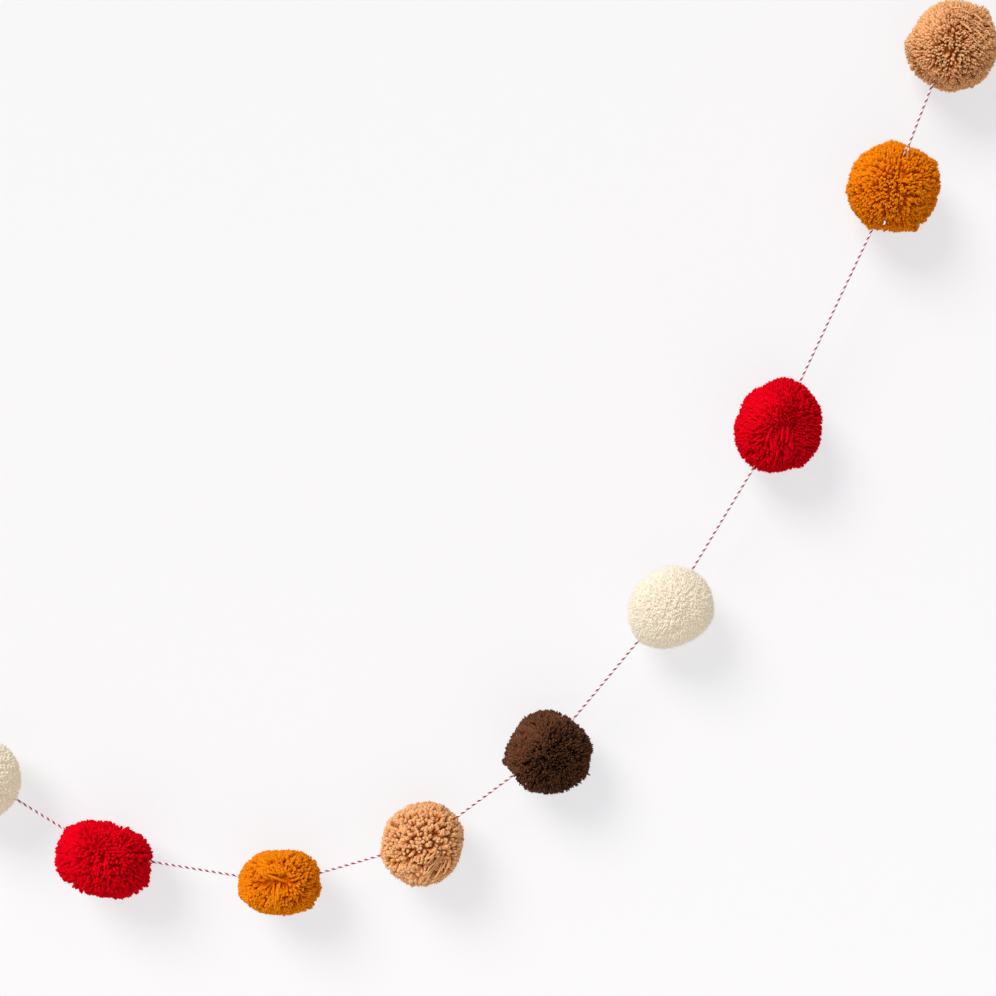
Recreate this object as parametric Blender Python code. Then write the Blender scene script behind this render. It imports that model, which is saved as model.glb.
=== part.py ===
"""Pom-pom garland: nine yarn pompoms threaded on one length of baker's twine.

The garland hangs by a loop at each end of its twine, in the curve that its own
weight gives it. Each pompom is a solid ball of four-sided yarn locks that stand
apart from a fused core, with a bore where the twine runs through it.

Metres, +Z up, +X to the right along the garland, +Y towards the wall behind it.
The origin is the hanging point, on the inside of the right-hand loop.
"""

import math
import random
from collections import namedtuple

import bmesh
import bpy
from mathutils import Matrix, Vector

MM = 0.001

# Twine
TWINE_DIAMETER = 1.3 * MM
BORE_CLEARANCE = 0.4 * MM
TOP_SLOPE = 3.02
SLOPE_STEP = 0.455
LAST_SPAN = 90 * MM
BEND_EASE = 14 * MM
EASE_STEPS = 12
TWINE_POINTS = 79
WELD_SHARE = 0.01

# Hanging loop, knot and cut tail at each end of the twine
LOOP_LENGTH = 27 * MM
LOOP_WIDTH = 11 * MM
LOOP_POINTS = 22
LOOP_OPENING = 0.03
DROP_WIDEST = 0.77
KNOT_LENGTH = 5.6 * MM
KNOT_WIDTH = 3.6 * MM
KNOT_TURN_RADIUS = 1.5 * MM
KNOT_TURN_TILT = math.radians(38)
TAIL_LENGTH = 15 * MM
TAIL_SIDEWAYS = 4.0 * MM
TAIL_FORWARD = 0.7 * MM
TAIL_POINTS = 6

# Yarn locks of a pompom, as shares of the ball's radius
LOCK_GAP = 1.2 * MM
CORE_SHARE = 0.55
ROOT_INSET = 0.01
RHOMB_INRADIUS = 0.325
SHOULDERS = (
    # share of the radius, width of the lock as a share of its full width
    (0.900, 1.00),
    (0.968, 0.80),
    (1.003, 0.46),
)
TIP_SHARE = 1.015
TIP_UNEVEN = 0.022
CORNER_UNEVEN = 0.055
LUMP_SPREAD = math.radians(26)

# Each pompom hangs where the twine bends. span is the twine before its bend,
# slide is how far along the twine its centre sits from the bend and sag how far
# below it. width is its longest diameter in the hanging plane, at the angle lean
# above +X, height the diameter across that, depth the one towards the wall.
# lumps are the high and low places of its outline, as an angle above +X and a
# rise. Angles are in degrees, all else in millimetres.
Pompom = namedtuple(
    "Pompom", "name yarn span slide sag width height depth lean lumps seed"
)
POMPOMS = (
    Pompom("pompom_1", "tan", 92, 0, 2, 54.8, 52.2, 53, 50,
           ((95, -1.6), (150, -1.4), (180, 1.6), (240, -1.7), (310, 1.2)), 11),
    Pompom("pompom_2", "mustard", 86.4, 1, 0.5, 53.0, 51.4, 52, 12,
           ((30, 1.6), (62, -1.9), (178, 1.5), (240, 1.6), (272, -0.8), (300, 1.8)), 22),
    Pompom("pompom_3", "red", 153.4, 0, 0, 56.0, 50.8, 52, 63,
           ((0, -1.0), (92, 1.6), (122, -1.1), (240, 1.2), (270, -1.0), (330, 1.3)), 33),
    Pompom("pompom_4", "cream", 112.6, 9, 1, 50.6, 45.8, 48, 36,
           ((150, -0.8), (270, -0.6), (300, -1.6), (332, 0.8)), 44),
    Pompom("pompom_5", "brown", 116.7, 1, 1.6, 49.2, 47.8, 48, -5,
           ((60, -1.2), (95, 1.1), (150, -2.0), (182, 0.8), (210, -0.9)), 55),
    Pompom("pompom_6", "tan", 90.5, 0, 0, 50.4, 47.2, 49, 51,
           ((0, -0.5), (240, -0.8), (285, 0.8)), 66),
    Pompom("pompom_7", "mustard", 82.6, 2.4, -1.4, 48.4, 39.6, 45, 3,
           ((0, -1.3), (90, -0.8), (180, -1.0), (268, -1.0), (330, 1.1)), 77),
    Pompom("pompom_8", "red", 104.5, 0, 2.3, 58.2, 44.2, 51, -15,
           ((30, 0.9), (75, -1.0), (210, 1.4), (255, -0.9), (330, 0.8)), 88),
    Pompom("pompom_9", "cream", 83.9, 0, 3, 50.0, 47.5, 49, 20,
           ((60, 0.8), (200, -0.8)), 99),
)

# Dyed yarns and twine, as linear colours
YARN_COLOURS = {
    "tan": (0.52, 0.24, 0.11),
    "mustard": (0.60, 0.17, 0.015),
    "red": (0.50, 0.010, 0.015),
    "cream": (0.84, 0.73, 0.58),
    "brown": (0.085, 0.038, 0.020),
}
TWINE_COLOUR = (0.80, 0.62, 0.60)
YARN_ROUGHNESS = 0.9
TWINE_ROUGHNESS = 0.75
SHARP_ANGLE = math.radians(55)


def clear_scene():
    for old in list(bpy.data.objects):
        bpy.data.objects.remove(old, do_unlink=True)


def new_collection(name):
    collection = bpy.data.collections.new(name)
    bpy.context.scene.collection.children.link(collection)
    return collection


def new_material(name, colour, roughness):
    material = bpy.data.materials.new(name)
    material.use_nodes = True
    shader = material.node_tree.nodes["Principled BSDF"]
    shader.inputs["Base Color"].default_value = (*colour, 1.0)
    shader.inputs["Roughness"].default_value = roughness
    shader.inputs["Metallic"].default_value = 0.0
    return material


def mesh_object(name, bm, collection, material=None):
    mesh = bpy.data.meshes.new(name)
    bm.to_mesh(mesh)
    bm.free()
    if material:
        mesh.materials.append(material)
    obj = bpy.data.objects.new(name, mesh)
    collection.objects.link(obj)
    return obj


def hide_guide(obj):
    obj.hide_render = True
    obj.display_type = "WIRE"


def in_plane(x, z):
    return Vector((x, 0.0, z))


# Hanging curve

def span_directions():
    """Down-the-twine directions of the spans: equal pompoms change the slope by equal steps."""
    directions = []
    for number in range(len(POMPOMS) + 1):
        angle = math.atan(TOP_SLOPE - SLOPE_STEP * number)
        directions.append(in_plane(-math.cos(angle), -math.sin(angle)))
    return directions


def bend_points(directions):
    """Where the twine bends in each pompom, and last the left-hand hanging point."""
    spans = [row.span * MM for row in POMPOMS] + [LAST_SPAN]
    point = Vector((0.0, 0.0, 0.0))
    points = []
    for span, direction in zip(spans, directions):
        point = point + direction * span
        points.append(point)
    return points


def pompom_centre(row, bend, before, after):
    along = (before + after).normalized()
    below = in_plane(-along.z, along.x)
    return bend + along * (row.slide * MM) + below * (row.sag * MM)


def eased_route(start, bends, end, directions):
    """A smooth fine line: taut between the pompoms, eased round each bend inside one."""
    line = [start]
    for bend, before, after in zip(bends, directions, directions[1:]):
        first = bend - before * BEND_EASE
        last = bend + after * BEND_EASE
        for step in range(EASE_STEPS + 1):
            t = step / EASE_STEPS
            line.append(first * (1 - t) ** 2 + bend * (2 * t * (1 - t)) + last * t ** 2)
    line.append(end)
    return line


def even_points(line, count):
    """Points at even distances along a line of points."""
    reach = [0.0]
    for a, b in zip(line, line[1:]):
        reach.append(reach[-1] + (b - a).length)
    points = []
    piece = 0
    for number in range(count):
        wanted = reach[-1] * number / (count - 1)
        while piece < len(line) - 2 and reach[piece + 1] < wanted:
            piece += 1
        share = (wanted - reach[piece]) / (reach[piece + 1] - reach[piece])
        points.append(line[piece].lerp(line[piece + 1], share))
    return points


# Twine

def tube(name, points, radius, collection):
    """A closed round tube along the points, as a mesh with its caps welded on."""
    curve = bpy.data.curves.new(name, "CURVE")
    curve.dimensions = "3D"
    curve.bevel_depth = radius
    curve.bevel_resolution = 2
    curve.use_fill_caps = True
    spline = curve.splines.new("POLY")
    spline.points.add(len(points) - 1)
    for place, point in zip(spline.points, points):
        place.co = (*point, 1.0)
    drawn = bpy.data.objects.new(name + "_line", curve)
    collection.objects.link(drawn)
    bpy.context.view_layer.update()
    evaluated = drawn.evaluated_get(bpy.context.evaluated_depsgraph_get())
    mesh = bpy.data.meshes.new_from_object(evaluated)
    bm = bmesh.new()
    bm.from_mesh(mesh)
    bmesh.ops.remove_doubles(bm, verts=bm.verts[:], dist=radius * WELD_SHARE)
    obj = mesh_object(name, bm, collection)
    obj.matrix_world = drawn.matrix_world
    bpy.data.objects.remove(drawn, do_unlink=True)
    bpy.data.meshes.remove(mesh)
    return obj


def loop_points(hang, pull):
    """A drop-shaped loop whose round end bears on the hook; pull points down the twine."""
    across = in_plane(-pull.z, pull.x)
    knot = hang + pull * LOOP_LENGTH
    points = []
    for number in range(LOOP_POINTS):
        share = number / (LOOP_POINTS - 1)
        turn = math.tau * (LOOP_OPENING + (1 - 2 * LOOP_OPENING) * share)
        reach = (LOOP_LENGTH + TWINE_DIAMETER / 2) * (1 - math.cos(turn)) / 2
        half_width = LOOP_WIDTH / 2 / DROP_WIDEST * math.sin(turn) * math.sin(turn / 2)
        points.append(knot - pull * reach + across * half_width)
    return points


def tail_points(knot, side):
    """A cut end that leaves the knot to one side and hangs down under its own weight."""
    points = []
    for number in range(TAIL_POINTS):
        t = number / (TAIL_POINTS - 1)
        sideways = side * TAIL_SIDEWAYS * math.sin(t * math.pi / 2)
        points.append(knot + Vector((sideways, -TAIL_FORWARD * t, -TAIL_LENGTH * t)))
    return points


def knot_pieces(name, knot, pull, collection):
    """An overhand knot: a tight bead with two crossing turns of twine round it."""
    upright = Vector((0, 0, 1)).rotation_difference(pull).to_matrix().to_4x4()
    bead = bmesh.new()
    stretch = Matrix.Diagonal((KNOT_WIDTH / 2, KNOT_WIDTH / 2, KNOT_LENGTH / 2, 1.0))
    bmesh.ops.create_uvsphere(
        bead, u_segments=12, v_segments=8, radius=1.0,
        matrix=Matrix.Translation(knot) @ upright @ stretch,
    )
    pieces = [mesh_object(name + "_bead", bead, collection)]
    for number, tilt in enumerate((KNOT_TURN_TILT, -KNOT_TURN_TILT)):
        bpy.ops.mesh.primitive_torus_add(
            major_segments=14, minor_segments=6,
            major_radius=KNOT_TURN_RADIUS, minor_radius=TWINE_DIAMETER / 2,
        )
        turn = bpy.context.object
        turn.name = "%s_turn_%d" % (name, number + 1)
        turn.matrix_world = Matrix.Translation(knot) @ upright @ Matrix.Rotation(tilt, 4, "X")
        for home in list(turn.users_collection):
            home.objects.unlink(turn)
        collection.objects.link(turn)
        pieces.append(turn)
    return pieces


def build_twine(route, bends, directions, parts, guides, material):
    """One solid: the main run, and at each end a knot, a hanging loop and a cut tail."""
    twine = tube("twine", route, TWINE_DIAMETER / 2, parts)
    twine.data.materials.append(material)
    ends = (
        ("right", Vector((0.0, 0.0, 0.0)), directions[0], 1),
        ("left", bends[-1], -directions[-1], -1),
    )
    joined = []
    for name, hang, pull, side in ends:
        knot = hang + pull * LOOP_LENGTH
        joined.append(tube("loop_" + name, loop_points(hang, pull), TWINE_DIAMETER / 2, guides))
        joined.append(tube("tail_" + name, tail_points(knot, side), TWINE_DIAMETER / 2, guides))
        joined.extend(knot_pieces("knot_" + name, knot, pull, guides))
    for piece in joined:
        hide_guide(piece)
        union = twine.modifiers.new("join_" + piece.name, "BOOLEAN")
        union.operation = "UNION"
        union.solver = "EXACT"
        union.object = piece
    return twine


# Pompoms

def lock_pattern():
    """Thirty equal rhombs on a unit ball, one for each lock of yarn."""
    bm = bmesh.new()
    bmesh.ops.create_icosphere(bm, subdivisions=1, radius=1.0)
    ridges = bm.edges[:]
    bmesh.ops.poke(bm, faces=bm.faces[:])
    bmesh.ops.dissolve_edges(bm, edges=ridges, use_verts=False)
    for vert in bm.verts:
        vert.co.normalize()
    return bm


def turn_pattern(bm, along, rng):
    """Turns the pattern so that the twine leaves through the middle of a lock."""
    bm.faces.ensure_lookup_table()
    middle = bm.faces[0].calc_center_median().normalized()
    turn = middle.rotation_difference(along).to_matrix()
    roll = Matrix.Rotation(rng.uniform(0, math.tau), 3, along)
    for vert in bm.verts:
        uneven = Vector([rng.uniform(-CORNER_UNEVEN, CORNER_UNEVEN) for _ in range(3)])
        vert.co = (roll @ turn @ vert.co + uneven).normalized()


def place_lock(face, share, width):
    """Moves a lock's end face to a share of the radius, and scales it about its middle."""
    middle = face.calc_center_median().normalized()
    for vert in face.verts:
        outward = vert.co.normalized()
        vert.co = (middle + (outward - middle) * width).normalized() * share


def lock_width(share, radius):
    """Width of a lock that leaves LOCK_GAP between it and the next at this radius."""
    return 1 - LOCK_GAP / (2 * share * radius) / RHOMB_INRADIUS


def raise_locks(bm, radius, rng):
    """Grows the thirty locks out of the core, wider towards their domed tips."""
    locks = bm.faces[:]
    bmesh.ops.inset_individual(bm, faces=locks, thickness=ROOT_INSET, depth=0.0)
    root_width = lock_width(CORE_SHARE, radius)
    for vert in bm.verts:
        vert.co = vert.co.normalized() * CORE_SHARE
    for lock in locks:
        place_lock(lock, CORE_SHARE, root_width)
    full_width = lock_width(SHOULDERS[0][0], radius)
    last_width = root_width
    for share, part in SHOULDERS:
        locks = bmesh.ops.extrude_discrete_faces(bm, faces=locks)["faces"]
        for lock in locks:
            place_lock(lock, share, full_width * part / last_width)
        last_width = full_width * part
    tips = bmesh.ops.poke(bm, faces=locks)["verts"]
    for tip in tips:
        tip.co = tip.co.normalized() * (TIP_SHARE + rng.uniform(-TIP_UNEVEN, TIP_UNEVEN))


def outline_reach(row, outward):
    """Distance from a pompom's centre to its surface in a direction."""
    lean = math.radians(row.lean)
    along = outward.x * math.cos(lean) + outward.z * math.sin(lean)
    across = outward.z * math.cos(lean) - outward.x * math.sin(lean)
    reach = 0.5 / math.sqrt(
        (along / row.width) ** 2 + (across / row.height) ** 2 + (outward.y / row.depth) ** 2
    )
    for angle, rise in row.lumps:
        place = in_plane(math.cos(math.radians(angle)), math.sin(math.radians(angle)))
        reach += rise * math.exp(-(outward.angle(place) / LUMP_SPREAD) ** 2)
    return reach * MM


def build_pompom(row, centre, along, bore, parts, material):
    rng = random.Random(row.seed)
    bm = lock_pattern()
    turn_pattern(bm, along, rng)
    raise_locks(bm, (row.width + row.height) * MM / 4, rng)
    for vert in bm.verts:
        vert.co = vert.co * outline_reach(row, vert.co.normalized())
    bmesh.ops.recalc_face_normals(bm, faces=bm.faces[:])
    pompom = mesh_object("%s_%s" % (row.name, row.yarn), bm, parts, material)
    pompom.location = centre
    pompom.data.shade_smooth()
    pompom.data.set_sharp_from_angle(angle=SHARP_ANGLE)
    cut = pompom.modifiers.new("twine_bore", "BOOLEAN")
    cut.operation = "DIFFERENCE"
    cut.solver = "EXACT"
    cut.object = bore
    return pompom


def main():
    clear_scene()
    parts = new_collection("pom_pom_garland")
    guides = new_collection("guides")
    yarns = {
        name: new_material("yarn_" + name, colour, YARN_ROUGHNESS)
        for name, colour in YARN_COLOURS.items()
    }
    cotton = new_material("twine", TWINE_COLOUR, TWINE_ROUGHNESS)

    directions = span_directions()
    bends = bend_points(directions)
    right_knot = directions[0] * LOOP_LENGTH
    left_knot = bends[-1] - directions[-1] * LOOP_LENGTH
    line = eased_route(right_knot, bends[:-1], left_knot, directions)
    route = even_points(line, TWINE_POINTS)
    build_twine(route, bends, directions, parts, guides, cotton)

    bore = tube("bore_route", route, TWINE_DIAMETER / 2 + BORE_CLEARANCE, guides)
    hide_guide(bore)
    for number, row in enumerate(POMPOMS):
        before, after = directions[number], directions[number + 1]
        centre = pompom_centre(row, bends[number], before, after)
        along = (before + after).normalized()
        build_pompom(row, centre, along, bore, parts, yarns[row.yarn])


if __name__ == "__main__":
    main()
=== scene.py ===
"""Pom-pom garland: fluffy yarn pompoms on red and white baker's twine.

Laid out as a Blender add-on. Each operator makes one piece or group of like pieces
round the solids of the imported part, and main() calls them in order.
"""

import math
from collections import namedtuple

import bmesh
import bpy
import numpy as np
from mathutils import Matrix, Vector
from mathutils.bvhtree import BVHTree


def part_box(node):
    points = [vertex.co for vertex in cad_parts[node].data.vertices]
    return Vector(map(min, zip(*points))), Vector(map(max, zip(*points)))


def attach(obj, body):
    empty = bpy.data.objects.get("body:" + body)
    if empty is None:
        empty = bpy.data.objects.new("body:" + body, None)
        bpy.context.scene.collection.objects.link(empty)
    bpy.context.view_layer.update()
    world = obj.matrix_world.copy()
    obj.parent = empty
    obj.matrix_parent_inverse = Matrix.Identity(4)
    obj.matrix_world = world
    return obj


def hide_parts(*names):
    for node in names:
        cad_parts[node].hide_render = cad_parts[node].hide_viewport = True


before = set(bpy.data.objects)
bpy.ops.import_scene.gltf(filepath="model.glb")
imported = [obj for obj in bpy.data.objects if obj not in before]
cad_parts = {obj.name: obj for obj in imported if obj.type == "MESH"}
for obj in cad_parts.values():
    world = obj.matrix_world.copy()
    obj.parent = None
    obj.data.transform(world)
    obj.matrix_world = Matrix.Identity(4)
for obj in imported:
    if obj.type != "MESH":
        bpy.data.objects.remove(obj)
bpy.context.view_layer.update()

bl_info = {
    "name": "Pom-pom garland",
    "version": (1, 0, 0),
    "blender": (4, 5, 0),
    "location": "3D View > Sidebar > Garland",
    "description": "Makes yarn pompoms threaded on baker's twine",
    "category": "Add Mesh",
}

BODY = "root"
MM = 0.001

# The twine's route, as the part's source has it: the spans between the bends in
# millimetres, from the right-hand hanging point, and the slope of each span
SPANS = (92, 86.4, 153.4, 112.6, 116.7, 90.5, 82.6, 104.5, 83.9, 90)
TOP_SLOPE = 3.02
SLOPE_STEP = 0.455
BEND_EASE = 14
EASE_STEPS = 12

# Section of the twine: four plies, two of them dyed, with three corners to a ply
TWINE_DIAMETER = 1.3
PLY_TWIST = 3.9
PLY_COLOURS = (0, 0, 1, 1)
PLY_PROFILE = (0.80, 1.0, 1.0)
STEPS_IN_TURN = 10
# Cut ends of the twine: the number of its frayed fibres, their length and thickness and
# how far they curl in millimetres, how far they lean, and where along them they bend
FRAYED_ENDS = 14
FRAYED_LENGTH = (1.0, 3.0)
FRAYED_THICKNESS = 0.3
FRAYED_CURL = 0.3
FRAYED_LEAN = 0.35
FRAYED_BEND = 0.6

# Hanging loop: a drop, open by a small share of its turn at the knot. DROP_WIDEST is the
# most that the drop's formula gives, so that it comes out as wide as named.
LOOP_LENGTH = 27
LOOP_WIDTH = 11
LOOP_POINTS = 20
LOOP_OPENING = 0.02
DROP_WIDEST = 0.77
# Knot: the twine winds round itself in a helix, from above the knot down
WRAP_WIDTH = 1.55
WRAP_DEPTH = 1.45
WRAP_PITCH = 1.35
WRAP_START = 2.3
WRAP_POINTS = 21
POINTS_IN_WRAP = 8
# Tail: it hangs down from the knot, and leaves to one side along a sine, up to this bend
TAIL_LENGTH = 15
TAIL_SIDEWAYS = 3.0
TAIL_BEND = 1.5
TAIL_POINTS = 5

# A fan is a place whose strands lean away from it all round, like petals. x and z are
# its place on the front, as shares of the pompom's radius, and shift is how far the tips
# lean, in millimetres.
Fan = namedtuple("Fan", "x z shift")
# A comb is a place whose strands are brushed to one side, to an angle above +X, over a
# spread in degrees. laid is the number of strands that lie on the surface there, slim
# their thickness as a share of the yarn's and lift their height over the surface in
# millimetres.
Comb = namedtuple("Comb", "x z spread toward shift laid slim lift", defaults=(0, 0.62, 0.3))
# A part is a line that strands lean away from on both sides, so that it shows dark.
# run is half its length, as a share of the radius, at an angle above +X.
Part = namedtuple("Part", "x z run angle shift")
# A felt is a place where the brushed yarn has closed up, with fuller strands and no dark
# gaps, or where it has opened, with a full below zero. full is a share of the thickness.
# Its strands are also painted lighter where it has closed up and darker where it has opened,
# and kept out of or sunk into the painted shade between strands: painted light and shade.
Felt = namedtuple("Felt", "x z spread full")
# A bump is a high or low place of the outline, at an angle above +X, and a dent one of
# the front: a rise in millimetres and a spread in degrees.
Bump = namedtuple("Bump", "angle rise spread")
Dent = namedtuple("Dent", "x z rise spread")
# A pompom: its solid's node and its yarn. thick is the yarn's thickness and loose how
# unevenly its strands are trimmed, in millimetres. stray is how far tufts of strands lean
# at random, tuft is the number of strands in a tuft, and gather how far their tips draw
# together, as a share of their distance. fuzz is the number of single fibres.
Pompom = namedtuple(
    "Pompom",
    "node yarn seed strands thick loose stray tuft gather fuzz "
    "fan combs parts felts dents bumps",
    defaults=((), (), (), (), ()),
)
POMPOMS = (
    Pompom(
        "pompom_1_tan", "tan", seed=101, strands=3500, thick=1.48, loose=0.30, stray=1.0,
        tuft=4, gather=0.10, fuzz=3500, fan=Fan(-0.08, 0.02, 0.8),
        combs=(Comb(0.55, 0.30, 24, -40, 3.4, 12, 0.75), Comb(0.15, 0.58, 16, -25, 2.0, 4, 0.75),
               Comb(-0.40, 0.62, 30, 118, 3.0), Comb(-0.70, 0.05, 26, 165, 2.0)),
        parts=(Part(0.10, 0.34, 0.20, -30, 1.4),),
        felts=(Felt(-0.70, 0.45, 30, 0.3), Felt(0.52, 0.42, 27, -0.4)),
        dents=(Dent(0.50, 0.42, -3.6, 26),),
        bumps=(Bump(48, 2.9, 10), Bump(150, -5.9, 14), Bump(200, -8.3, 14), Bump(225, -9.3, 18),
               Bump(250, -5.3, 14), Bump(285, -6.9, 10)),
    ),
    Pompom(
        "pompom_2_mustard", "mustard", seed=102, strands=2900, thick=1.68, loose=0.3, stray=1.1,
        tuft=4, gather=0.12, fuzz=3500, fan=Fan(-0.06, -0.08, 1.2),
        combs=(Comb(0.55, -0.25, 22, -8, 2.5, 14, 0.8),),
        parts=(Part(-0.22, -0.30, 0.16, 110, 1.0),),
        felts=(Felt(-0.75, 0.40, 30, 0.3),),
        dents=(Dent(0.60, -0.55, -1.8, 20),),
        bumps=(Bump(30, 2.1, 8), Bump(60, -9.6, 9), Bump(90, 2.1, 8), Bump(165, -4.0, 10),
               Bump(195, -1.5, 8), Bump(222, -2.1, 12), Bump(240, 1.7, 6), Bump(262, -3.4, 10),
               Bump(300, 2.0, 9), Bump(345, -0.9, 10)),
    ),
    Pompom(
        "pompom_3_red", "red", seed=103, strands=3800, thick=1.40, loose=0.3, stray=1.3,
        tuft=4, gather=0.10, fuzz=2500, fan=Fan(0.30, 0.0, 0.4),
        combs=(Comb(-0.50, 0.45, 40, 148, 4.0), Comb(-0.80, -0.15, 30, 185, 3.4),
               Comb(-0.05, -0.52, 20, 265, 3.6, 18, 1.4), Comb(0.62, -0.25, 26, -25, 4.5)),
        felts=(Felt(-0.55, 0.45, 36, 0.6), Felt(-0.85, -0.2, 24, 0.55),
               Felt(0.52, -0.15, 42, -0.3)),
        dents=(Dent(0.44, -0.10, -6.0, 30), Dent(-0.22, 0.18, 2.2, 20)),
        bumps=(Bump(0, -3.7, 11), Bump(38, -2.1, 16), Bump(66, -1.4, 9), Bump(73, 1.2, 3),
               Bump(108, -3.9, 12), Bump(162, -2.6, 12), Bump(285, -1.6, 8), Bump(300, 1.8, 7),
               Bump(345, -1.2, 8)),
    ),
    Pompom(
        "pompom_4_cream", "cream", seed=104, strands=5700, thick=1.12, loose=0.24, stray=0.9,
        tuft=5, gather=0.09, fuzz=12000, fan=Fan(0.05, -0.12, 0.7),
        combs=(Comb(0.0, -0.55, 20, 235, 2.4), Comb(0.30, -0.25, 14, 200, 1.6)),
        felts=(Felt(-0.40, 0.45, 45, 0.3),),
        dents=(Dent(0.12, -0.52, -2.0, 6), Dent(-0.10, -0.62, -1.6, 6), Dent(0.20, -0.22, -1.4, 6),
               Dent(-0.30, -0.30, -1.2, 7), Dent(0.42, -0.05, -1.2, 8), Dent(0.0, -0.36, 0.9, 8)),
        bumps=(Bump(60, -0.2, 12), Bump(125, -0.5, 32), Bump(228, 1.7, 14), Bump(255, 0.8, 16),
               Bump(300, 0.5, 20), Bump(345, 1.1, 20)),
    ),
    Pompom(
        "pompom_5_brown", "brown", seed=105, strands=4400, thick=1.10, loose=0.50, stray=1.5,
        tuft=3, gather=0.0, fuzz=2500, fan=Fan(0.15, -0.05, 0.0),
        combs=(Comb(-0.60, 0.48, 34, 142, 3.4, 46, 1.0), Comb(-0.88, -0.12, 22, 186, 3.0, 20, 1.0),
               Comb(0.05, 0.86, 22, 92, 2.6, 18, 1.0)),
        felts=(Felt(-0.62, 0.50, 40, 0.85), Felt(-0.95, -0.1, 26, 0.7), Felt(0.1, 0.92, 26, 0.6),
               Felt(0.3, -0.35, 36, -0.2)),
        dents=(Dent(0.35, -0.30, -4.0, 30),),
        bumps=(Bump(10, 1.4, 12), Bump(50, -1.2, 12), Bump(75, -1.6, 8), Bump(135, 0.4, 8),
               Bump(155, -2.6, 9), Bump(192, 2.5, 9), Bump(215, -0.1, 8), Bump(240, 2.0, 8),
               Bump(270, -0.7, 8), Bump(322, 1.6, 14)),
    ),
    Pompom(
        "pompom_6_tan", "tan", seed=106, strands=2000, thick=2.15, loose=0.35, stray=1.5,
        tuft=4, gather=0.22, fuzz=3000, fan=Fan(0.18, 0.18, 1.2),
        combs=(Comb(0.42, -0.45, 20, 235, 4.0, 26, 0.40, 2.6), Comb(-0.15, 0.60, 20, 100, 1.5)),
        parts=(Part(0.26, 0.39, 0.10, 80, 2.0), Part(-0.20, -0.12, 0.14, 10, 2.0),
               Part(0.62, 0.22, 0.10, 70, 1.5)),
        felts=(Felt(-0.30, -0.72, 22, 0.3),),
        dents=(Dent(0.45, -0.42, -4.0, 17),),
        bumps=(Bump(20, 0.6, 10), Bump(50, -2.4, 8), Bump(90, -3.2, 14), Bump(120, -3.6, 10),
               Bump(138, -1.2, 14), Bump(165, -1.4, 14), Bump(180, -2.1, 10), Bump(218, -2.0, 14),
               Bump(245, -1.1, 10), Bump(272, -1.0, 10), Bump(285, -1.1, 10), Bump(345, -0.5, 8)),
    ),
    Pompom(
        "pompom_7_mustard", "mustard", seed=107, strands=2400, thick=1.8, loose=0.25, stray=0.9,
        tuft=5, gather=0.18, fuzz=3500, fan=Fan(0.30, 0.05, 1.4),
        combs=(Comb(-0.18, 0.34, 18, 170, 3.4, 8, 0.9), Comb(0.02, -0.28, 20, 266, 3.4, 14, 0.9)),
        parts=(Part(0.02, 0.10, 0.50, 3, 3.2),),
        felts=(Felt(-0.55, 0.75, 28, 0.2), Felt(0.2, 0.85, 24, 0.2), Felt(-0.9, -0.2, 22, 0.4),
               Felt(-0.1, -0.9, 24, 0.4), Felt(0.12, 0.08, 13, -0.3)),
        dents=(Dent(0.0, 0.09, -3.4, 10), Dent(0.24, 0.09, -3.6, 9), Dent(0.05, 0.0, -1.2, 22)),
        bumps=(Bump(15, 1.1, 8), Bump(28, 1.6, 7), Bump(90, -3.6, 28), Bump(120, -1.6, 10),
               Bump(142, -1.9, 12), Bump(200, 1.9, 8), Bump(255, -1.3, 25), Bump(270, -2.3, 10),
               Bump(320, 1.6, 9), Bump(345, 1.5, 9)),
    ),
    Pompom(
        "pompom_8_red", "red", seed=108, strands=2250, thick=2.15, loose=0.45, stray=0.8,
        tuft=5, gather=0.15, fuzz=2500, fan=Fan(0.09, 0.48, 3.2),
        combs=(Comb(0.50, 0.30, 16, 0, 2.0, 8, 0.8), Comb(0.05, -0.20, 20, 265, 1.5, 8, 0.8)),
        felts=(Felt(-0.75, 0.40, 30, 0.5), Felt(0.1, 0.9, 24, 0.3)),
        bumps=(Bump(0, -1.0, 7), Bump(48, -6.7, 14), Bump(60, -3.1, 8), Bump(78, -13.9, 20),
               Bump(105, -3.0, 12), Bump(120, -5.1, 10), Bump(165, -3.3, 18), Bump(196, -4.8, 7),
               Bump(232, -11.7, 13), Bump(256, -3.8, 12), Bump(300, 1.6, 14), Bump(325, 2.2, 11),
               Bump(348, -12.5, 7)),
    ),
    Pompom(
        "pompom_9_cream", "cream", seed=109, strands=4000, thick=1.31, loose=0.26, stray=0.9,
        tuft=5, gather=0.09, fuzz=6000, fan=Fan(0.0, 0.0, 0.5),
    ),
)
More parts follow.
